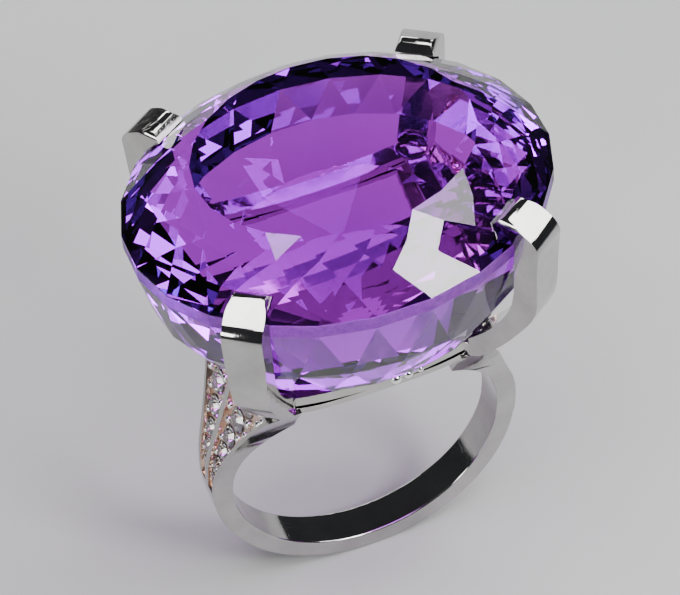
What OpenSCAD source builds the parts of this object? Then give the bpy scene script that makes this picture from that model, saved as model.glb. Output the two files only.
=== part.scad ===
// Cocktail ring: a large oval faceted stone held by four claws over a pierced gallery,
// on a plain band whose shoulders carry two tapering channels of small round stones.
// X runs across the finger along the stone's long axis, Y runs along the finger,
// Z points up through the stone. The origin is the centre of the finger hole.

/* [Finger hole] */
// Radius of the finger hole
finger_r = 9; // [8:0.1:10.8]

/* [Band] */
// Thickness of the band, outward from the finger hole
band_t = 1.3; // [1.1:0.05:1.8]
// Width of the band at the back of the finger
band_w = 2.4; // [2:0.1:3.2]
// Drop of the solder seams between band and shoulders, below the finger centre
seam_drop = 1.5; // [0.8:0.1:3]

/* [Shoulders] */
// Height of the shoulder tops above the finger hole
shoulder_rise = 1.6; // [1.4:0.1:2.4]
// Width of each shoulder at its top
shoulder_w = 11; // [9.6:0.1:13.4]
// Angle up from the level of the finger centre where the outer face turns straight
shoulder_turn = 18; // [14:1:22]
// Width of the shoulder tops inside the corner posts
shoulder_lip = 0.1; // [0.05:0.05:0.3]
// Thickness of the plate that carries the small stones, channels included
plate_t = 1.45; // [1.3:0.05:1.6]
// Thickness of the side walls of the hollow behind the plate
wall_t = 1; // [0.8:0.05:1.3]
// Depth of the floor of the hollow behind the plate, below the top of the finger hole
hollow_drop = 2.1; // [1:0.1:2.3]

/* [Channels] */
// Depth of the two stone channels below the outer face
channel_depth = 0.3; // [0.2:0.02:0.4]
// Width of the polished rim along each side of a shoulder
rim_w = 0.32; // [0.25:0.01:0.4]
// Width of the polished ridge between the two channels
ridge_w = 0.5; // [0.4:0.02:0.7]
// Distance along the outer face from the finger centre's level to the channel ends
channel_start = 0.1; // [0:0.05:0.3]
// Metal left between the channels and the shoulder tops
channel_end = 0.35; // [0.25:0.05:0.6]

/* [Small stones] */
// Number of small stones in each channel
small_count = 7; // [4:1:7]
// Diameter of the small stone at the narrow end of a channel
small_d_first = 0.72; // [0.6:0.02:0.76]
// Gap between the girdles of two neighbouring small stones
small_gap = 0.16; // [0.12:0.01:0.2]
// Diameter of the metal grains as a share of the stones beside them
grain_share = 0.32; // [0.26:0.01:0.36]
// Clearance between a stone and the metal that it seats in
seat_gap = 0.02; // [0.01:0.005:0.04]

/* [Centre stone] */
// Length of the stone, across the finger
stone_len = 26; // [22:0.1:32]
// Width of the stone, along the finger
stone_wid = 21.1; // [18:0.1:26]
// Height of the stone's lowest point above the finger hole
culet_rise = 1.9; // [1.7:0.1:3]
// Height of the crown, from the girdle to the table
crown_h = 3.5; // [2.8:0.1:4.2]
// Thickness of the girdle
girdle_t = 0.95; // [0.6:0.05:1.3]
// Depth of the pavilion, from the girdle to the lowest point
pavilion_h = 11; // [9.5:0.1:13]
// Size of the table as a share of the girdle
table_share = 0.655; // [0.6:0.005:0.7]

/* [Gallery] */
// Distance of the corner post centres from the outer edges of the shoulder tops
post_inset = 1.2; // [1.1:0.05:1.3]
// Distance of the corner post centres from the sides of the shoulder tops
post_side_inset = 0.75; // [0.65:0.05:0.85]
// Diameter of the corner posts
post_d = 1.8; // [1.5:0.05:2]
// Height of the corner posts
post_h = 1.4; // [1.3:0.05:1.6]
// Thickness of the gallery rails
rail_t = 1.1; // [0.8:0.05:1.3]
// Height of the plain side rails
side_rail_h = 1; // [0.7:0.05:1.1]
// Height of the upper strand of the front and back galleries
upper_strand_h = 0.7; // [0.5:0.02:0.8]
// Height of the lower strand of the front and back galleries
lower_strand_h = 0.44; // [0.36:0.02:0.5]
// Diameter of the largest granule at the fork of a gallery
granule_d = 0.8; // [0.5:0.05:0.9]

/* [Claws] */
// Width of a claw where it passes the girdle
claw_w = 2.4; // [2:0.05:3.2]
// Thickness of a claw where it passes the girdle
claw_t = 1.5; // [1.2:0.05:1.8]
// Width of a claw arm at its foot
foot_w = 1.7; // [1.3:0.05:2]
// Thickness of a claw arm below the stone
arm_t = 1.7; // [1.4:0.05:2]
// Gap between a claw arm and the stone below the girdle
arm_gap = 0.5; // [0.4:0.05:0.8]
// Reach of a claw tip over the crown, inward from the girdle
tip_reach = 1.25; // [1:0.05:1.6]

/* [Hidden] */
$fn = 64;
small_sides = 12;
over = 1;

// Band and shoulders
outer_r = finger_r + band_t;
seam_z = -seam_drop;
shoulder_z = finger_r + shoulder_rise;
shoulder_top_x = outer_r * cos(shoulder_turn)
  - (shoulder_z - outer_r * sin(shoulder_turn)) * tan(shoulder_turn);
post_x = shoulder_top_x - post_inset;
post_y = shoulder_w / 2 - post_side_inset;
shoulder_in = post_x - post_d / 2 - shoulder_lip;
hollow_z = finger_r - hollow_drop;
flare_power = 1.9;
flare_steps = 14;

// Centre stone: heights of its rows and their sizes as shares of the girdle
facets = 24;
facet_angle = 360 / facets;
half_facet = cos(facet_angle / 2);
girdle_low = finger_r + culet_rise + pavilion_h;
girdle_top = girdle_low + girdle_t;
star_share = 0.76;
kite_share = 0.85;
star_rise = 0.745 * crown_h;
kite_rise = crown_h
  - (crown_h - star_rise) * (kite_share - table_share) / (star_share * half_facet - table_share);
corner_rise = star_rise
  - (star_rise - kite_rise) * (1 - star_share) / (kite_share * half_facet - star_share);
pavilion_share = [1, 0.925, 0.78, 0.5];
pavilion_level = [0, 0.4, 0.69, 0.905];

// Claw plane: from the corner post out to the girdle, which it meets squarely
function claw_miss(a) =
  (stone_wid / 2 * sin(a) - post_y) * cos(a) * stone_wid
  - (stone_len / 2 * cos(a) - post_x) * sin(a) * stone_len;
function squarest(low, high, steps) =
  let (middle = (low + high) / 2)
  steps == 0 ? middle
  : claw_miss(middle) < 0 ? squarest(middle, high, steps - 1)
  : squarest(low, middle, steps - 1);
claw_angle = squarest(20, 80, 24);
grip_x = stone_len / 2 * cos(claw_angle);
grip_y = stone_wid / 2 * sin(claw_angle);
claw_run = norm([grip_x - post_x, grip_y - post_y]);
claw_turn = atan2(grip_y - post_y, grip_x - post_x);
share_slope = grip_x * cos(claw_turn) / pow(stone_len / 2, 2)
  + grip_y * sin(claw_turn) / pow(stone_wid / 2, 2);
share_bend = pow(cos(claw_turn) / (stone_len / 2), 2) + pow(sin(claw_turn) / (stone_wid / 2), 2);

small_names = ["right_back", "right_front", "left_back", "left_front"];
small_nodes = [for (row = small_names) for (i = [1:small_count]) str("small_stone_", row, "_", i)];

// ---- shared shapes ----

module along_y(width) {
  rotate([90, 0, 0]) linear_extrude(height = width, center = true) children();
}

module along_x(length) {
  rotate([90, 0, 90]) linear_extrude(height = length) children();
}

// Places a piece made for the right-hand back corner at another corner
module corner(side_x, side_y) {
  mirror([side_x < 0 ? 1 : 0, 0, 0]) mirror([0, side_y < 0 ? 1 : 0, 0]) children();
}

// Smooth curve through points, four steps to a span
function curve_point(a, b, c, d, t) =
  0.5 * (2 * b + (c - a) * t + (2 * a - 5 * b + 4 * c - d) * t * t + (3 * b - a - 3 * c + d) * t * t * t);
function smooth(p, steps = 4) = concat(
  [for (i = [0:len(p) - 2]) for (s = [0:steps - 1])
    curve_point(p[max(i - 1, 0)], p[i], p[i + 1], p[min(i + 2, len(p) - 1)], s / steps)],
  [p[len(p) - 1]]);
function reversed(p) = [for (i = [len(p) - 1:-1:0]) p[i]];

// ---- band and shoulders ----

// Side view of the ring's outside, drawn inward by inset
module outside(inset) {
  r = outer_r - inset;
  turn_point = r * [cos(shoulder_turn), sin(shoulder_turn)];
  run = (shoulder_z - turn_point[1]) / cos(shoulder_turn);
  top_point = turn_point + run * [-sin(shoulder_turn), cos(shoulder_turn)];
  circle(r);
  polygon([[0, 0], turn_point, top_point, [0, shoulder_z]]);
}

// Half the width of a shoulder at height z
function half_width(z) =
  band_w / 2 + (shoulder_w - band_w) / 2 * pow(max(z - seam_z, 0) / (shoulder_z - seam_z), flare_power);
function flare_z(i) = seam_z + (shoulder_z - seam_z) * i / flare_steps;

// Edge of the flare seen along X, drawn inward by inset
function flare_edge(inset, from_z, to_z) =
  [for (i = [0:flare_steps]) let (z = from_z + (to_z - from_z) * i / flare_steps) [half_width(z) - inset, z]];

// Closes an outline that is the same on both sides of the middle, from its right-hand edge
module both_edges(edge) {
  polygon(concat(edge, [for (p = reversed(edge)) [-p[0], p[1]]]));
}

module both_sides() {
  children();
  mirror([0, 1, 0]) children();
}

// Point on the outer face a distance along it from the level of the finger centre
turn_length = outer_r * shoulder_turn * PI / 180;
function face_angle(s) = min(s / outer_r * 180 / PI, shoulder_turn);
function face_point(s) =
  outer_r * [cos(face_angle(s)), sin(face_angle(s))]
  + max(s - turn_length, 0) * [-sin(shoulder_turn), cos(shoulder_turn)];
face_length = turn_length + (shoulder_z - outer_r * sin(shoulder_turn)) / cos(shoulder_turn);

// Small stones grow evenly from the narrow end of a channel, so that together they fill its length
channel_length = face_length - channel_end - channel_start;
small_d_last = 2 * (channel_length - (small_count + 1) * small_gap) / small_count - small_d_first;
function small_d(i) = small_d_first + (small_d_last - small_d_first) * i / (small_count - 1);
function small_s(i) = i == 0
  ? channel_start + small_gap + small_d_first / 2
  : small_s(i - 1) + (small_d(i - 1) + small_d(i)) / 2 + small_gap;
function channel_middle(z) = (ridge_w / 2 + half_width(z) - rim_w) / 2;

// The channel floor is one flat under each small stone, and the flats meet midway between stones
function flat_start(i) = i == 0 ? channel_start
  : i == small_count ? channel_start + channel_length
  : small_s(i) - small_d(i) / 2 - small_gap / 2;
function out_point(s, out) = face_point(s) + out * [cos(face_angle(s)), sin(face_angle(s))];
function floor_point(i) = out_point(flat_start(i), -channel_depth);
function flat_lean(i) = let (run = floor_point(i + 1) - floor_point(i)) atan2(-run[0], run[1]);

// Stands a piece on flat i of the right-hand shoulder, a distance s along the face
module on_flat(i, s, y) {
  share = (s - flat_start(i)) / (flat_start(i + 1) - flat_start(i));
  p = floor_point(i) + share * (floor_point(i + 1) - floor_point(i));
  translate([p[0], y, p[1]]) rotate([0, 90 - flat_lean(i), 0]) children();
}

function small_y(i) = channel_middle(face_point(small_s(i))[1]);
module at_small(i) {
  on_flat(i, small_s(i), small_y(i)) children();
}

small_crown = 0.3;
small_girdle = 0.08;
small_pavilion = 0.8;
small_table = 0.56;
azure_share = 0.55;

module small_stone(i) {
  r = small_d(i) / 2;
  color("white") at_small(i) {
    translate([0, 0, small_girdle * r])
      cylinder(h = small_crown * r, r1 = r, r2 = small_table * r, $fn = small_sides);
    cylinder(h = small_girdle * r, r = r, $fn = small_sides);
    translate([0, 0, -small_pavilion * r])
      cylinder(h = small_pavilion * r, r1 = 0, r2 = r, $fn = small_sides);
  }
}

// Tapered seat under a small stone, a little deeper than the stone and drilled through where the plate
// is hollow behind
module small_seat(i) {
  r = small_d(i) / 2 + seat_gap;
  hole_r = azure_share * r;
  through = face_point(small_s(i))[1] > hollow_z;
  tip = through
    ? [[0, -plate_t], [hole_r, -plate_t], [hole_r, -small_pavilion * (r - hole_r) - seat_gap]]
    : [[0, -small_pavilion * r - seat_gap]];
  rim = [[r, -seat_gap], [r, channel_depth + over], [0, channel_depth + over]];
  at_small(i) rotate_extrude() polygon(concat(tip, rim));
}

module shoulder_blank() {
  intersection() {
    along_y(2 * shoulder_w) difference() {
      intersection() {
        outside(0);
        translate([shoulder_in, seam_z]) square([2 * outer_r, shoulder_z - seam_z]);
      }
      circle(finger_r);
    }
    along_x(2 * outer_r) both_edges(flare_edge(0, seam_z, shoulder_z));
  }
}

module channel() {
  intersection() {
    along_y(2 * shoulder_w) polygon(concat(
      [for (i = [0:small_count]) floor_point(i)],
      [for (i = [small_count:-1:0]) out_point(flat_start(i), over)]));
    along_x(2 * outer_r) polygon(concat(
      flare_edge(rim_w, seam_z, shoulder_z), [[ridge_w / 2, shoulder_z], [ridge_w / 2, seam_z]]));
  }
}

module hollow() {
  intersection() {
    along_y(2 * shoulder_w) intersection() {
      outside(plate_t);
      translate([0, hollow_z]) square([outer_r, shoulder_z]);
    }
    along_x(2 * outer_r) both_edges(flare_edge(wall_t, hollow_z, shoulder_z + over));
  }
}

module shoulder(side_x) {
  color("silver") corner(side_x, 1) difference() {
    difference() {
      shoulder_blank();
      hollow();
      both_sides() channel();
    }
    both_sides() for (i = [0:small_count - 1]) small_seat(i);
  }
}

module band() {
  color("silver") along_y(band_w) difference() {
    circle(outer_r);
    circle(finger_r);
    translate([-2 * outer_r, seam_z]) square(4 * outer_r);
  }
}

// Grains are cut off by the channel walls and floor, and stay clear of the stones
function grain_r(i) = grain_share * small_d(i) / 2;
function aside(i, s, r) = sqrt(pow(small_d(i) / 2 + r + seat_gap, 2) - pow(s - small_s(i), 2));
function rim_y(s) = half_width(face_point(s)[1]) - rim_w;

// Pairs where two stones meet: each entry is the flat, the distance along the face, y and the radius
function between_grains(i) =
  let (s = flat_start(i), r = grain_r(i))
  [[i, s, min(small_y(i - 1) - aside(i - 1, s, r), small_y(i) - aside(i, s, r)), r],
   [i, s, small_y(i) + aside(i, s, r), r]];

// Grains against the rim and the ridge, a distance past a stone's middle, wherever the stone leaves room
function side_grains(i, past) =
  let (s = small_s(i) + past, r = grain_r(i))
  [for (y = [rim_y(s) - r / 2, ridge_w / 2 + r / 2]) if (abs(y - small_y(i)) > aside(i, s, r)) [i, s, y, r]];

grain_places = concat(
  [for (i = [1:small_count - 1]) each between_grains(i)],
  [for (i = [0:small_count - 1]) each side_grains(i, 0)],
  side_grains(small_count - 1, small_d_last / 3));

module dome(r) {
  rotate_extrude() intersection() {
    circle(r);
    square(r);
  }
}

module grains(side_x, side_y) {
  color("gainsboro") corner(side_x, side_y) intersection() {
    channel();
    for (place = grain_places)
      on_flat(place[0], place[1], place[2]) translate([0, 0, -seat_gap]) dome(place[3]);
  }
}

// ---- gallery ----

module post() {
  color("silver") translate([post_x, post_y, shoulder_z]) rotate_extrude() intersection() {
    square([post_d / 2, post_h]);
    translate([0, post_h - post_d]) circle(post_d);
  }
}

module post_space() {
  translate([post_x, post_y, 0]) cylinder(h = girdle_low, d = post_d);
}

module side_rail(side_x) {
  color("silver") corner(side_x, 1) difference() {
    translate([post_x - rail_t / 2, -post_y, shoulder_z]) cube([rail_t, 2 * post_y, side_rail_h]);
    both_sides() post_space();
  }
}

// The upper strand dips to the middle and rises to the posts, and the lower one forks away below it
gallery_steps = 12;
upper_mid = 0.15;
upper_lift = 0.95;
lower_mid = -0.4;
lower_lift = 0.78;
function upper_z(x) = shoulder_z + upper_mid + upper_lift * pow(x / post_x, 2);
function lower_z(x) = shoulder_z + lower_mid + lower_lift * pow(x / post_x, 4);

module strand(rise, height) {
  xs = [for (i = [-gallery_steps:gallery_steps]) post_x * i / gallery_steps];
  polygon(concat(
    [for (i = [0:len(xs) - 1]) [xs[i], rise[i] - height / 2]],
    [for (i = [len(xs) - 1:-1:0]) [xs[i], rise[i] + height / 2]]));
}

module gallery(side_y) {
  xs = [for (i = [-gallery_steps:gallery_steps]) post_x * i / gallery_steps];
  color("silver") corner(1, side_y) difference() {
    translate([0, post_y, 0]) along_y(rail_t) {
      strand([for (x = xs) upper_z(x)], upper_strand_h);
      strand([for (x = xs) lower_z(x)], lower_strand_h);
    }
    for (side = [0, 1]) mirror([side, 0, 0]) {
      post_space();
      translate([shoulder_in, 0, 0]) cube([outer_r, shoulder_w, shoulder_z]);
    }
  }
}

// Three granules in a shrinking row on the outer face of a gallery, at its fork
fork_share = 0.15;
granule_shrink = 0.2;
granule_drop = 0.1;
module granules(side_y) {
  color("gainsboro") corner(1, side_y)
    for (i = [0:2]) {
      d = granule_d * (1 - granule_shrink * i);
      x = fork_share * post_x + i * granule_d;
      translate([x, post_y + rail_t / 2, upper_z(x) - granule_drop]) rotate([-90, 0, 0]) dome(d / 2);
    }
}

// ---- claws ----

// Distance outward from the girdle, in a claw's plane, of the stone at a share of its size
function share_out(share) =
  (sqrt(pow(share_slope, 2) - share_bend * (1 - share * share)) - share_slope) / share_bend;
function share_at(out) = sqrt(1 + 2 * share_slope * out + share_bend * out * out);
function pavilion_z(row) = girdle_low - pavilion_h * pavilion_level[row];
function crown_z(out) = girdle_top + corner_rise
  + (kite_rise - corner_rise) * (1 - share_at(out)) / (1 - kite_share);
// Points along its outline: gaps and lengths in millimetres, thicknesses as shares of arm_t or claw_t
arm_gap_low = 1.2 * arm_gap;
foot_overlap = 0.1;
foot_reach = [1.1, 0.5];
bend_low = [0.25, -1];
bend_high = [1.1, 0.25];
blade_drop = 1;
blade_share = 0.85;
tip_lift = seat_gap;
tip_lean = atan2(crown_z(-tip_reach) - crown_z(0), tip_reach);
tip_up = [sin(tip_lean), cos(tip_lean)];
tip_in = [-cos(tip_lean), sin(tip_lean)];
tip_t = 0.66 * claw_t;
tip_round = 0.35 * tip_t;
tip_corner = 0.65;
tip_root = [seat_gap, girdle_top + corner_rise + tip_lift];
tip_end = [-tip_reach, crown_z(-tip_reach) + tip_lift];
bend = [share_out(pavilion_share[2]) + arm_gap, pavilion_z(2)];
// Angles around the bend and how thick the claw is there, as shares of claw_t
bend_angles = [-20, 5, 30, 55];
bend_shares = [1.12, 1.08, 0.98, 0.88];
crest_z = tip_end[1] + (tip_t - tip_round) * tip_up[1] + tip_round * (1 - tip_up[0]);

function claw_inside() = concat(
  [tip_end, tip_root],
  smooth([
    [seat_gap, girdle_low],
    [share_out(pavilion_share[1]) + arm_gap, pavilion_z(1)],
    [share_out(pavilion_share[2]) + arm_gap_low, pavilion_z(2)],
    [-claw_run, shoulder_z + post_h - foot_overlap]]));

function claw_outside() = concat(
  smooth([
    [-claw_run, shoulder_z + 2 * seat_gap],
    [-claw_run, shoulder_z] + foot_reach,
    bend + arm_t * bend_low,
    bend + arm_t * bend_high,
    [blade_share * claw_t, pavilion_z(1)],
    [claw_t, girdle_low - blade_drop],
    each [for (i = [0:3]) tip_root + bend_shares[i] * claw_t * [cos(bend_angles[i]), sin(bend_angles[i])]],
    tip_end + tip_t * tip_up - tip_round * tip_in]),
  [for (a = [60, 30, 0]) tip_end + (tip_t - tip_round + tip_round * sin(a)) * tip_up
    + tip_round * (cos(a) - 1) * tip_in]);

// Half the front view of a claw, rounded at the corners of its tip
function claw_side() = concat(
  [[foot_w / 2, shoulder_z], [foot_w / 2, shoulder_z + post_h], [claw_w / 2, girdle_low - blade_drop]],
  [for (a = [0:15:90]) [claw_w / 2, crest_z] + tip_corner * [cos(a) - 1, sin(a) - 1]]);

module claw() {
  color("silver") difference() {
    translate([grip_x, grip_y, 0]) rotate([0, 0, claw_turn]) intersection() {
      along_y(2 * claw_w) polygon(concat(claw_inside(), claw_outside()));
      translate([-2 * claw_run, 0, 0]) along_x(4 * claw_run) both_edges(claw_side());
    }
    post_space();
  }
}

// ---- centre stone ----

function ring(share, z, turn) = [for (i = [0:facets - 1]) let (a = (i + turn) * facet_angle)
  [share * stone_len / 2 * cos(a), share * stone_wid / 2 * sin(a), z]];
function corner_of(row, i) = row * facets + (i + facets) % facets;

// Triangles that join a row to the one below it, which is turned half a facet on
function zigzag(row) = [for (i = [0:facets - 1]) for (half = [0, 1]) half == 0
  ? [corner_of(row, i), corner_of(row, i + 1), corner_of(row + 1, i)]
  : [corner_of(row, i), corner_of(row + 1, i), corner_of(row + 1, i - 1)]];
// The same where the lower row is turned half a facet back
function zagzig(row) = [for (i = [0:facets - 1]) for (half = [0, 1]) half == 0
  ? [corner_of(row, i - 1), corner_of(row, i), corner_of(row + 1, i)]
  : [corner_of(row, i), corner_of(row + 1, i + 1), corner_of(row + 1, i)]];

module centre_stone() {
  culet_z = girdle_low - pavilion_h;
  points = concat(
    ring(table_share, girdle_top + crown_h, 0),
    ring(star_share, girdle_top + star_rise, 0.5),
    ring(kite_share, girdle_top + kite_rise, 0),
    ring(1, girdle_top + corner_rise, 0.5),
    ring(1, girdle_low, 0.5),
    ring(pavilion_share[1], pavilion_z(1), 0),
    ring(pavilion_share[2], pavilion_z(2), 0.5),
    ring(pavilion_share[3], pavilion_z(3), 0),
    [[0, 0, culet_z]]);
  rows = [0:facets - 1];
  faces = concat(
    [[for (i = [facets - 1:-1:0]) i]],
    [for (i = rows) [corner_of(0, i), corner_of(0, i + 1), corner_of(1, i)]],
    [for (i = rows) [corner_of(0, i), corner_of(1, i), corner_of(2, i), corner_of(1, i - 1)]],
    [for (i = rows) [corner_of(1, i), corner_of(2, i + 1), corner_of(3, i), corner_of(2, i)]],
    [for (i = rows) [corner_of(2, i), corner_of(3, i), corner_of(3, i - 1)]],
    [for (i = rows) [corner_of(3, i), corner_of(3, i + 1), corner_of(4, i + 1), corner_of(4, i)]],
    zagzig(4),
    zigzag(5),
    zagzig(6),
    [for (i = rows) [corner_of(7, i), corner_of(7, i + 1), 8 * facets]]);
  color("mediumpurple") polyhedron(points, faces);
}

band();
shoulder(-1);  // shoulder_left
shoulder(1);  // shoulder_right
side_rail(-1);  // side_rail_left
side_rail(1);  // side_rail_right
gallery(-1);  // gallery_front
gallery(1);  // gallery_back
granules(-1);  // granules_front
granules(1);  // granules_back
corner(-1, -1) post();  // post_front_left
corner(1, -1) post();  // post_front_right
corner(-1, 1) post();  // post_back_left
corner(1, 1) post();  // post_back_right
corner(-1, -1) claw();  // claw_front_left
corner(1, -1) claw();  // claw_front_right
corner(-1, 1) claw();  // claw_back_left
corner(1, 1) claw();  // claw_back_right
centre_stone();
grains(-1, -1);  // grains_left_front
grains(-1, 1);  // grains_left_back
grains(1, -1);  // grains_right_front
grains(1, 1);  // grains_right_back
for (row = [0:3]) for (i = [0:small_count - 1])
  corner(row < 2 ? 1 : -1, row % 2 == 0 ? 1 : -1) small_stone(i);
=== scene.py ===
# Cocktail ring: a large oval violet stone in four claws, on a silver band with stone-set shoulders.
# Lengths are in metres. X runs across the finger, Y along it, Z up through the stone.
from math import cos, pi, radians, sin

import bmesh
import bpy
from mathutils import Matrix, Vector


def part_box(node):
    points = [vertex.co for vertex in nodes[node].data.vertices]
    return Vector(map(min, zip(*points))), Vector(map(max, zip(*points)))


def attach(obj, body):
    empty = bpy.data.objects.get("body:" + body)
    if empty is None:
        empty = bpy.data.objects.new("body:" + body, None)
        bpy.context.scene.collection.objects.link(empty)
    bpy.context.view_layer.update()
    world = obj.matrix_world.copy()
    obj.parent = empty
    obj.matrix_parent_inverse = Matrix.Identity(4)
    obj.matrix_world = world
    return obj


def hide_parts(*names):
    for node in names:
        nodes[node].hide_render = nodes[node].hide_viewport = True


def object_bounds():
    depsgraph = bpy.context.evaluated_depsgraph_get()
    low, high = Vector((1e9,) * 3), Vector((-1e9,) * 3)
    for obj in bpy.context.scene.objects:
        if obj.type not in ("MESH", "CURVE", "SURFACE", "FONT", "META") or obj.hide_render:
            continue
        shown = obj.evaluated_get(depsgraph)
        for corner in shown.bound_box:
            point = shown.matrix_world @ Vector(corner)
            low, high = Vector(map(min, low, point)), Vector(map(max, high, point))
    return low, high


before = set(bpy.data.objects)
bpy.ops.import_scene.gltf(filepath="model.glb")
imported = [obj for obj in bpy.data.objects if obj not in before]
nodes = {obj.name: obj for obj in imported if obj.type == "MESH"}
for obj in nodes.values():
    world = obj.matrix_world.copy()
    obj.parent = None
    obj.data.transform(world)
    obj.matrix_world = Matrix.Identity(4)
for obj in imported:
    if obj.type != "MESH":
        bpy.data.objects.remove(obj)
cad_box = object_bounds()
MM = 0.001


# ---- shader building blocks ----

def feed(tree, socket, value):
    """Links another node's output to a socket, or sets the socket to a plain value."""
    if hasattr(value, "is_output"):
        tree.links.new(value, socket)
    else:
        socket.default_value = value


def add_node(tree, kind, inputs=None, **settings):
    """A shader node with its settings and what its inputs take."""
    made = tree.nodes.new(kind)
    for name, value in settings.items():
        setattr(made, name, value)
    for name, value in (inputs or {}).items():
        feed(tree, made.inputs[name], value)
    return made


def math_node(tree, operation, *values):
    """The result of one sum on plain values or other nodes' outputs."""
    made = tree.nodes.new("ShaderNodeMath")
    made.operation = operation
    for place, value in enumerate(values):
        feed(tree, made.inputs[place], value)
    return made.outputs[0]


def ramp(tree, factor, stops):
    """A colour that runs through the given stops as the factor grows."""
    made = tree.nodes.new("ShaderNodeValToRGB")
    while len(made.color_ramp.elements) < len(stops):
        made.color_ramp.elements.new(0.5)
    for element, (place, colour) in zip(made.color_ramp.elements, stops):
        element.position = place
        element.color = colour
    tree.links.new(factor, made.inputs["Fac"])
    return made.outputs["Color"]


def new_group(name, inputs, outputs):
    """A node group with named sockets, and its input and output nodes."""
    group = bpy.data.node_groups.new(name, "ShaderNodeTree")
    for socket, kind, default in inputs:
        made = group.interface.new_socket(name=socket, in_out="INPUT", socket_type=kind)
        if default is not None:
            made.default_value = default
    for socket, kind in outputs:
        group.interface.new_socket(name=socket, in_out="OUTPUT", socket_type=kind)
    return group, group.nodes.new("NodeGroupInput"), group.nodes.new("NodeGroupOutput")


# Hairline scratches: how each of the two crossing sets is turned, and how fine it is along X, Y and Z.
SCRATCH_SETS = (((0.3, 0.2, 0.5), (900, 14000, 5000)), ((1.2, -0.5, 1.9), (13000, 1100, 6000)))
SCRATCH_LEVEL = 0.6
SCRATCH_SOFTNESS = 0.05
SMEAR_SCALE = 420.0
RIPPLE_SCALE = 330.0


def handling_wear():
    """Broad smears and fine crossing scratches from wear, and the slight ripple of hand polish."""
    group, given, out = new_group(
        "handling_wear",
        [("Vector", "NodeSocketVector", None), ("Scratches", "NodeSocketFloat", 0.5),
         ("Smears", "NodeSocketFloat", 0.5), ("Ripple", "NodeSocketFloat", 0.0)],
        [("Roughness", "NodeSocketFloat"), ("Height", "NodeSocketFloat"), ("Tint", "NodeSocketFloat")])
    coords = given.outputs["Vector"]
    lines = None
    for turn, fineness in SCRATCH_SETS:
        mapped = add_node(group, "ShaderNodeMapping", {"Vector": coords, "Rotation": turn, "Scale": fineness})
        noise = add_node(group, "ShaderNodeTexNoise", {
            "Vector": mapped.outputs[0], "Scale": 1.0, "Detail": 3.0, "Roughness": 0.6})
        above = math_node(group, "SUBTRACT", noise.outputs["Fac"], SCRATCH_LEVEL)
        line = math_node(group, "SMOOTH_MAX", above, 0.0, SCRATCH_SOFTNESS)
        lines = line if lines is None else math_node(group, "ADD", lines, line)
    smear = add_node(group, "ShaderNodeTexNoise", {
        "Vector": coords, "Scale": SMEAR_SCALE, "Detail": 5.0, "Roughness": 0.62})
    smear_part = math_node(group, "MULTIPLY", smear.outputs["Fac"], given.outputs["Smears"])
    scratch_part = math_node(group, "MULTIPLY", lines, given.outputs["Scratches"])
    ripple = add_node(group, "ShaderNodeTexNoise", {
        "Vector": coords, "Scale": RIPPLE_SCALE, "Detail": 1.0, "Roughness": 0.4})
    ripple_part = math_node(group, "MULTIPLY", ripple.outputs["Fac"], given.outputs["Ripple"])
    feed(group, out.inputs["Roughness"], math_node(group, "ADD", smear_part, scratch_part))
    feed(group, out.inputs["Height"], math_node(group, "SUBTRACT", ripple_part, scratch_part))
    feed(group, out.inputs["Tint"], smear.outputs["Fac"])
    return group


wear = handling_wear()


def new_material(name):
    """An empty material: its tree, its main shader, the object coordinates and its output node."""
    material = bpy.data.materials.new(name)
    material.use_nodes = True
    tree = material.node_tree
    tree.nodes.clear()
    output = tree.nodes.new("ShaderNodeOutputMaterial")
    shader = tree.nodes.new("ShaderNodeBsdfPrincipled")
    tree.links.new(shader.outputs[0], output.inputs["Surface"])
    coords = tree.nodes.new("ShaderNodeTexCoord").outputs["Object"]
    return material, tree, shader, coords, output


def add_wear(tree, coords, scratches, smears, ripple=0.0):
    """The wear group placed in a material with its own amounts."""
    worn = tree.nodes.new("ShaderNodeGroup")
    worn.node_tree = wear
    tree.links.new(coords, worn.inputs["Vector"])
    worn.inputs["Scratches"].default_value = scratches
    worn.inputs["Smears"].default_value = smears
    worn.inputs["Ripple"].default_value = ripple
    return worn


# ---- silver ----

HAND_RIPPLE = 1.6
POLISH_RELIEF = 0.04 * MM


def polished_silver(name, dark, light, roughness, scratches, smears):
    """Polished silver, faintly warm, with smears and hairline scratches."""
    material, tree, shader, coords, _ = new_material(name)
    worn = add_wear(tree, coords, scratches, smears, HAND_RIPPLE)
    feed(tree, shader.inputs["Base Color"], ramp(tree, worn.outputs["Tint"], [(0.3, dark), (0.7, light)]))
    shader.inputs["Metallic"].default_value = 1.0
    feed(tree, shader.inputs["Roughness"], math_node(tree, "ADD", worn.outputs["Roughness"], roughness))
    bump = add_node(tree, "ShaderNodeBump", {
        "Height": worn.outputs["Height"], "Strength": 0.7, "Distance": POLISH_RELIEF})
    feed(tree, shader.inputs["Normal"], bump.outputs[0])
    return material


# The main silver's base colour is painted shade: it sits far below silver's own colour, and below the grains'
# silver, to stand in for the dark reflections of dark surroundings.
silver = polished_silver(
    "polished_silver", dark=(0.38, 0.372, 0.36, 1), light=(0.50, 0.49, 0.475, 1),
    roughness=0.02, scratches=0.35, smears=0.10)
channel_silver = polished_silver(
    "channel_silver", dark=(0.55, 0.36, 0.27, 1), light=(0.72, 0.55, 0.46, 1),
    roughness=0.12, scratches=0.3, smears=0.25)
grain_silver = polished_silver(
    "grain_silver", dark=(0.82, 0.81, 0.79, 1), light=(0.93, 0.92, 0.9, 1),
    roughness=0.05, scratches=0.2, smears=0.15)


# ---- stones ----

low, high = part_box("centre_stone")
FACETS = 24
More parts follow.
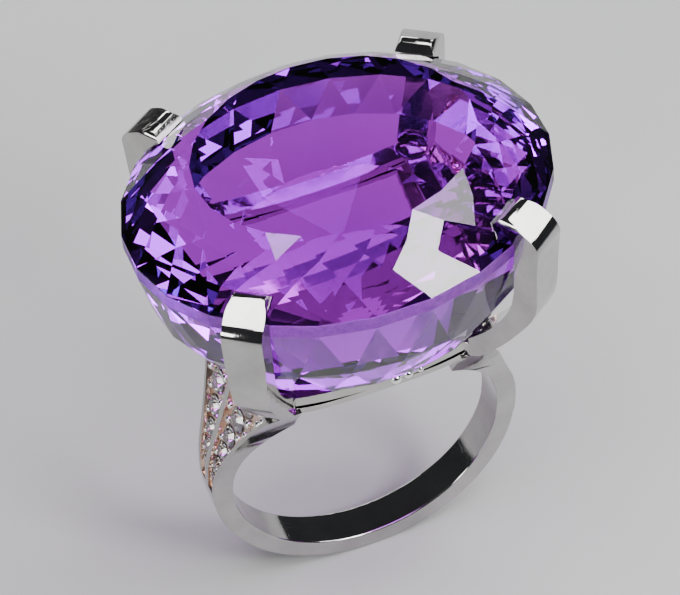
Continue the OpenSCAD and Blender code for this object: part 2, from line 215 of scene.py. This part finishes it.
# How far the middle of a flat side reaches, as a share of how far its corners reach.
FLAT_REACH = cos(pi / FACETS)
STONE_LENGTH = (high.x - low.x) / FLAT_REACH
STONE_WIDTH = (high.y - low.y) / FLAT_REACH
CROWN = 3.5 * MM
GIRDLE = 0.95 * MM
PAVILION = high.z - low.z - CROWN - GIRDLE
girdle_top = high.z - CROWN
girdle_low = girdle_top - GIRDLE

# Crown facets meet at shares of the girdle's size.
TABLE_SHARE = 0.655
STAR_SHARE = 0.76
STAR_RISE = 0.745 * CROWN
KITE_SHARE = 0.85
# Pavilion rows from the girdle down: share of the girdle's size, share of the depth, turn in facets.
PAVILION_ROWS = ((1, 0, 0.5), (0.925, 0.4, 0), (0.78, 0.69, 0.5), (0.5, 0.905, 0))
FLAT_ENOUGH = radians(0.4)

FROST_MARGIN = 0.02 * MM
PIT_SIZE = 0.28
PIT_DEPTH = 0.8
FROST_RELIEF = 0.06 * MM
# A mix node set to colours takes them at these sockets.
MIX_FACTOR, MIX_FIRST, MIX_SECOND, MIX_RESULT = 0, 6, 7, 2


def violet_quartz():
    """Clear violet quartz with paler and bluer zones, and a frosted, pitted girdle."""
    material, tree, shader, coords, output = new_material("violet_quartz")
    split = add_node(tree, "ShaderNodeSeparateXYZ", {"Vector": coords})
    middle = (girdle_low + girdle_top) / 2
    offset = math_node(tree, "ABSOLUTE", math_node(tree, "SUBTRACT", split.outputs["Z"], middle))
    on_girdle = math_node(tree, "LESS_THAN", offset, GIRDLE / 2 - FROST_MARGIN)

    zones = add_node(tree, "ShaderNodeTexNoise", {
        "Vector": coords, "Scale": 90.0, "Detail": 2.0, "Roughness": 0.45})
    body = ramp(tree, zones.outputs["Fac"], [
        (0.32, (0.80, 0.55, 0.98, 1)), (0.5, (0.90, 0.64, 1.0, 1)), (0.7, (0.98, 0.72, 0.98, 1))])
    grain = add_node(tree, "ShaderNodeTexNoise", {
        "Vector": coords, "Scale": 1500.0, "Detail": 4.0, "Roughness": 0.7})
    frosted = ramp(tree, grain.outputs["Fac"], [
        (0.35, (0.34, 0.16, 0.50, 1)), (0.65, (0.80, 0.52, 0.90, 1))])
    colour = add_node(tree, "ShaderNodeMix", data_type="RGBA")
    feed(tree, colour.inputs[MIX_FACTOR], on_girdle)
    feed(tree, colour.inputs[MIX_FIRST], body)
    feed(tree, colour.inputs[MIX_SECOND], frosted)
    feed(tree, shader.inputs["Base Color"], colour.outputs[MIX_RESULT])

    worn = add_wear(tree, coords, scratches=0.04, smears=0.006)
    grain_part = math_node(tree, "MULTIPLY", grain.outputs["Fac"], 0.35)
    frost = math_node(tree, "MULTIPLY", on_girdle, math_node(tree, "ADD", grain_part, 0.25))
    feed(tree, shader.inputs["Roughness"], math_node(tree, "ADD", frost, worn.outputs["Roughness"]))

    pits = add_node(tree, "ShaderNodeTexVoronoi", {"Vector": coords, "Scale": 3200.0})
    pit_part = math_node(
        tree, "MULTIPLY", math_node(tree, "LESS_THAN", pits.outputs["Distance"], PIT_SIZE), PIT_DEPTH)
    relief = math_node(tree, "SUBTRACT", grain.outputs["Fac"], pit_part)
    bump = add_node(tree, "ShaderNodeBump", {
        "Height": math_node(tree, "MULTIPLY", on_girdle, relief), "Strength": 0.6, "Distance": FROST_RELIEF})
    feed(tree, shader.inputs["Normal"], bump.outputs[0])

    shader.inputs["Transmission Weight"].default_value = 1.0
    shader.inputs["IOR"].default_value = 1.55
    absorb = add_node(tree, "ShaderNodeVolumeAbsorption", {"Color": (0.84, 0.12, 0.93, 1), "Density": 240.0})
    tree.links.new(absorb.outputs[0], output.inputs["Volume"])
    return material


def clear_stone():
    """Colourless cut stone with a faint grey cast and fine scratches."""
    material, tree, shader, coords, _ = new_material("clear_stone")
    worn = add_wear(tree, coords, scratches=0.03, smears=0.01)
    feed(tree, shader.inputs["Base Color"], ramp(tree, worn.outputs["Tint"], [
        (0.3, (0.93, 0.94, 0.96, 1)), (0.7, (1, 1, 1, 1))]))
    feed(tree, shader.inputs["Roughness"], math_node(tree, "ADD", worn.outputs["Roughness"], 0.005))
    shader.inputs["Transmission Weight"].default_value = 1.0
    shader.inputs["IOR"].default_value = 2.1
    return material


stone_material = violet_quartz()
clear_material = clear_stone()


def finish_piece(bm, name, material, replaced, smooth_angle=None):
    """Turns a bmesh into a piece of the ring that stands for a CAD node."""
    mesh = bpy.data.meshes.new(name)
    bm.to_mesh(mesh)
    bm.free()
    mesh.materials.append(material)
    if smooth_angle is not None:
        mesh.polygons.foreach_set("use_smooth", [True] * len(mesh.polygons))
        mesh.set_sharp_from_angle(angle=smooth_angle)
    piece = bpy.data.objects.new(name, mesh)
    bpy.context.scene.collection.objects.link(piece)
    if smooth_angle is not None:
        even = piece.modifiers.new("even_polish", "WEIGHTED_NORMAL")
        even.keep_sharp = True
    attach(piece, "root")
    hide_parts(*replaced)
    return piece


def facet_row(bm, share, z, turn):
    """One oval row of facet corners at a share of the girdle's size, turned by a number of facets."""
    made = bmesh.ops.create_circle(bm, segments=FACETS, radius=1.0)
    size = Matrix.Diagonal((share * STONE_LENGTH / 2, share * STONE_WIDTH / 2, 1, 1))
    spin = Matrix.Rotation((turn + FACETS / 4) * 2 * pi / FACETS, 4, "Z")
    bmesh.ops.transform(bm, matrix=Matrix.Translation((0, 0, z)) @ size @ spin, verts=made["verts"])


def cut_stone():
    """The oval stone. Its facets are the flats of a hull around the rows, and end in a point below."""
    star_flat, kite_flat = STAR_SHARE * FLAT_REACH, KITE_SHARE * FLAT_REACH
    kite_rise = CROWN - (CROWN - STAR_RISE) * (KITE_SHARE - TABLE_SHARE) / (star_flat - TABLE_SHARE)
    corner_rise = STAR_RISE - (STAR_RISE - kite_rise) * (1 - STAR_SHARE) / (kite_flat - STAR_SHARE)
    bm = bmesh.new()
    for share, rise, turn in ((TABLE_SHARE, CROWN, 0), (STAR_SHARE, STAR_RISE, 0.5),
                              (KITE_SHARE, kite_rise, 0), (1, corner_rise, 0.5)):
        facet_row(bm, share, girdle_top + rise, turn)
    for share, depth, turn in PAVILION_ROWS:
        facet_row(bm, share, girdle_low - PAVILION * depth, turn)
    bmesh.ops.create_vert(bm, co=(0, 0, low.z))
    hull = bmesh.ops.convex_hull(bm, input=bm.verts)
    bmesh.ops.delete(bm, geom=list({*hull["geom_interior"], *hull["geom_unused"]}), context="VERTS")
    bmesh.ops.dissolve_limit(bm, angle_limit=FLAT_ENOUGH, verts=bm.verts, edges=bm.edges)
    bmesh.ops.recalc_face_normals(bm, faces=bm.faces)
    return bm


finish_piece(cut_stone(), "violet_oval_stone", stone_material, ["centre_stone"])


# ---- metalwork: each CAD part again with its edges rounded and polished ----

SEAM_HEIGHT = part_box("shoulder_right")[0].z
SAME_HEIGHT = 0.001 * MM
WELD = 0.002 * MM
SAME_PLANE = radians(0.3)
SMOOTH_BELOW = radians(40)

# How far each part's edges are rounded.
CLAW_ROUNDING = 0.14 * MM
POST_ROUNDING = 0.10 * MM
GALLERY_ROUNDING = 0.14 * MM
RAIL_ROUNDING = 0.16 * MM
BAND_ROUNDING = 0.12 * MM
SHOULDER_ROUNDING = 0.07 * MM

# Way round the stone, from its long axis, in which a claw faces outwards.
CLAW_TURN = radians(54.95)
# How far a claw's face leans outwards or upwards to count as its outer side.
OUTWARD_LEAN, UPWARD_LEAN = 0.25, 0.4


def merged_copy(node):
    """A CAD node's loose triangles joined into whole flat faces."""
    bm = bmesh.new()
    bm.from_mesh(nodes[node].data)
    bmesh.ops.remove_doubles(bm, verts=bm.verts, dist=WELD)
    bmesh.ops.dissolve_limit(bm, angle_limit=SAME_PLANE, verts=bm.verts, edges=bm.edges)
    return bm


def round_edges(bm, wanted, width, segments=3):
    chosen = [edge for edge in bm.edges if edge.is_manifold and wanted(edge)]
    bmesh.ops.bevel(bm, geom=chosen, offset=width, offset_type="OFFSET", segments=segments, profile=0.5,
                    affect="EDGES", clamp_overlap=True, material=-1)


def sharp(edge, least=28):
    """True where the faces at an edge turn by more than a least angle in degrees."""
    return edge.calc_face_angle(0) > radians(least)


def at_seam(edge):
    """True where an edge lies in the seam between band and shoulder."""
    return all(abs(corner.co.z - SEAM_HEIGHT) < SAME_HEIGHT for corner in edge.verts)


def rounded_copy(node, width):
    """A CAD node's shape, merged, with its sharp edges rounded but its seams left tight."""
    bm = merged_copy(node)
    round_edges(bm, lambda edge: sharp(edge) and not at_seam(edge), width)
    return bm


def rounded_claw(node, sign_x, sign_y):
    """A claw with rounded edges along its outside. Its edges that face the stone stay as they are."""
    outward = Vector((sign_x * cos(CLAW_TURN), sign_y * sin(CLAW_TURN), 0))
    across = Vector((-outward.y, outward.x, 0))
    bm = merged_copy(node)

    def outer_rim(edge):
        if not sharp(edge, least=50):
            return False
        strip = min(edge.link_faces, key=lambda face: abs(face.normal.dot(across)))
        return strip.normal.dot(outward) > OUTWARD_LEAN or strip.normal.z > UPWARD_LEAN

    round_edges(bm, outer_rim, CLAW_ROUNDING)
    return bm


def finish_metal(bm, name, node):
    """A reshaped CAD part as a piece of polished silver, its base colour darkened with painted shade."""
    return finish_piece(bm, name, silver, [node], SMOOTH_BELOW)


for side_y, sign_y in (("front", -1), ("back", 1)):
    for side_x, sign_x in (("left", -1), ("right", 1)):
        claw, post = f"claw_{side_y}_{side_x}", f"post_{side_y}_{side_x}"
        finish_metal(rounded_claw(claw, sign_x, sign_y), f"{side_y}_{side_x}_claw", claw)
        finish_metal(rounded_copy(post, POST_ROUNDING), f"{side_y}_{side_x}_post", post)
for side_y in ("front", "back"):
    gallery = f"gallery_{side_y}"
    finish_metal(rounded_copy(gallery, GALLERY_ROUNDING), f"{side_y}_gallery", gallery)
for side_x in ("left", "right"):
    rail = f"side_rail_{side_x}"
    finish_metal(rounded_copy(rail, RAIL_ROUNDING), f"{side_x}_side_rail", rail)
finish_metal(rounded_copy("band", BAND_ROUNDING), "plain_band", "band")


# ---- shoulders: rounded rims, with the channels between them less polished ----

TOP_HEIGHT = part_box("shoulder_right")[1].z
OUTER_RADIUS = -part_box("band")[0].z
BAND_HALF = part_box("band")[1].y
SHOULDER_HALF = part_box("shoulder_right")[1].y
# The outer face is round up to this turn and straight above it.
TURN = radians(18)
FLARE_POWER = 1.9
RIM = 0.32 * MM
PLATE = 1.25 * MM
# Depths below the outer face at which its own edges end, the channels start and the inside starts.
FACE_DEPTH, CHANNEL_DEPTH, INSIDE_DEPTH = 0.01 * MM, 0.1 * MM, 1.2 * MM
TOP_DEPTH = 0.01 * MM
# The edges of the finger hole are rounded up to this height.
HOLE_EDGE_TOP = 6 * MM
SILVER_SLOT, CHANNEL_SLOT = 0, 1


def below_face(point):
    """Depth of a point below the shoulders' outer face."""
    x, z = abs(point.x), point.z
    round_part = OUTER_RADIUS - (x * x + z * z) ** 0.5
    return round_part if z < OUTER_RADIUS * sin(TURN) else OUTER_RADIUS - x * cos(TURN) - z * sin(TURN)


def in_channel(face):
    """True for a face between the rims that is neither the outer face, the hollow nor the top."""
    middle = face.calc_center_median()
    share = max(middle.z - SEAM_HEIGHT, 0) / (TOP_HEIGHT - SEAM_HEIGHT)
    inner_rim = BAND_HALF + (SHOULDER_HALF - BAND_HALF) * share ** FLARE_POWER - RIM / 2
    return (CHANNEL_DEPTH < below_face(middle) < PLATE and abs(middle.y) < inner_rim
            and abs(middle.z - TOP_HEIGHT) > TOP_DEPTH)


def rim(edge):
    """True for the edges of the outer face and of the finger hole."""
    if not sharp(edge, least=40) or at_seam(edge):
        return False
    depths = [below_face(corner.co) for corner in edge.verts]
    return max(depths) < FACE_DEPTH or (min(depths) > INSIDE_DEPTH and edge.verts[0].co.z < HOLE_EDGE_TOP)


def shoulder_copy(node):
    bm = merged_copy(node)
    round_edges(bm, rim, SHOULDER_ROUNDING, segments=2)
    for face in bm.faces:
        face.material_index = CHANNEL_SLOT if in_channel(face) else SILVER_SLOT
    return bm


for side_x in ("left", "right"):
    shoulder = f"shoulder_{side_x}"
    piece = finish_metal(shoulder_copy(shoulder), f"{side_x}_shoulder", shoulder)
    piece.data.materials.append(channel_silver)


# ---- small stones, grains and granules: the CAD parts themselves ----

def finish_node(name, material):
    node = nodes[name]
    node.data.materials.clear()
    node.data.materials.append(material)


for name in nodes:
    if name.startswith("small_stone"):
        finish_node(name, clear_material)
    elif name.startswith("grains") or name.startswith("granules"):
        finish_node(name, grain_silver)


# ---- floor, light and camera ----

FLOOR_REACH = 1.5
# The point that all lamps face, in the lower part of the centre stone.
LIT_POINT = Vector((0, 0, 0.015))
# A lamp whose way rises more than this is nearly overhead, and is levelled along X.
OVERHEAD = 0.9


def pale_floor():
    bm = bmesh.new()
    bmesh.ops.create_grid(bm, x_segments=8, y_segments=8, size=FLOOR_REACH)
    bmesh.ops.translate(bm, vec=(0, 0, cad_box[0][2]), verts=bm.verts)
    mesh = bpy.data.meshes.new("floor")
    bm.to_mesh(mesh)
    bm.free()
    material, tree, shader, coords, _ = new_material("pale_card")
    cloud = add_node(tree, "ShaderNodeTexNoise", {"Vector": coords, "Scale": 30.0, "Detail": 4.0})
    feed(tree, shader.inputs["Base Color"], ramp(tree, cloud.outputs["Fac"], [
        (0.3, (0.36, 0.36, 0.37, 1)), (0.7, (0.40, 0.40, 0.405, 1))]))
    shader.inputs["Roughness"].default_value = 0.55
    mesh.materials.append(material)
    floor = bpy.data.objects.new("floor", mesh)
    bpy.context.scene.collection.objects.link(floor)


def softbox(name, direction, distance, size, power):
    """A level rectangular lamp that faces the ring from a direction."""
    lamp = bpy.data.lights.new(name, "AREA")
    lamp.shape = "RECTANGLE"
    lamp.size, lamp.size_y = size
    lamp.energy = power
    box = bpy.data.objects.new(name, lamp)
    way = Vector(direction).normalized()
    level = Vector((0, 1, 0) if way.z > OVERHEAD else (0, 0, 1)).cross(way).normalized()
    turned = Matrix((level, way.cross(level), way)).transposed().to_4x4()
    box.matrix_world = Matrix.Translation(LIT_POINT + way * distance) @ turned
    bpy.context.scene.collection.objects.link(box)


def studio():
    world = bpy.data.worlds.new("studio")
    bpy.context.scene.world = world
    world.use_nodes = True
    background = world.node_tree.nodes["Background"]
    background.inputs["Color"].default_value = (0.045, 0.047, 0.052, 1)
    background.inputs["Strength"].default_value = 1.0
    softbox("front_softbox", (0.43, -0.66, 0.61), 0.30, (0.09, 0.09), 0.8)
    softbox("overhead_softbox", (0.24, -0.16, 1.0), 0.26, (0.46, 0.17), 2.1)
    softbox("left_softbox", (-1.0, -0.35, 0.30), 0.30, (0.18, 0.05), 0.35)
    softbox("back_softbox", (0.1, 1.0, 0.22), 0.32, (0.30, 0.06), 0.5)


# The camera stands off this point, and looks slightly to the left of it and above it.
CAMERA_POINT = Vector((0, 0, 0.01))
CAMERA_DISTANCE = 0.2
CAMERA_TURN, CAMERA_RISE, CAMERA_ROLL = radians(-17.559), radians(49.010), radians(-5.033)
AIM_LEFT, AIM_ABOVE = 0.003015, 0.009692
SENSOR_WIDTH = 36.0
FOCAL_LENGTH = 172.6756


def main_camera():
    """The main view, from the front, a little to the left and well above."""
    reach = cos(CAMERA_RISE)
    back = Vector((sin(CAMERA_TURN) * reach, -cos(CAMERA_TURN) * reach, sin(CAMERA_RISE)))
    level = Vector((cos(CAMERA_TURN), sin(CAMERA_TURN), 0))
    upright = back.cross(level)
    right = cos(CAMERA_ROLL) * level + sin(CAMERA_ROLL) * upright
    up = -sin(CAMERA_ROLL) * level + cos(CAMERA_ROLL) * upright
    aim = (back + right * AIM_LEFT - up * AIM_ABOVE).normalized()
    side = up.cross(aim).normalized()
    lens = bpy.data.cameras.new("camera")
    lens.sensor_width = SENSOR_WIDTH
    lens.lens = FOCAL_LENGTH
    lens.clip_start = 0.01
    camera = bpy.data.objects.new("camera", lens)
    turned = Matrix((side, aim.cross(side), aim)).transposed().to_4x4()
    camera.matrix_world = Matrix.Translation(CAMERA_POINT + back * CAMERA_DISTANCE) @ turned
    bpy.context.scene.collection.objects.link(camera)
    bpy.context.scene.camera = camera


pale_floor()
studio()
main_camera()
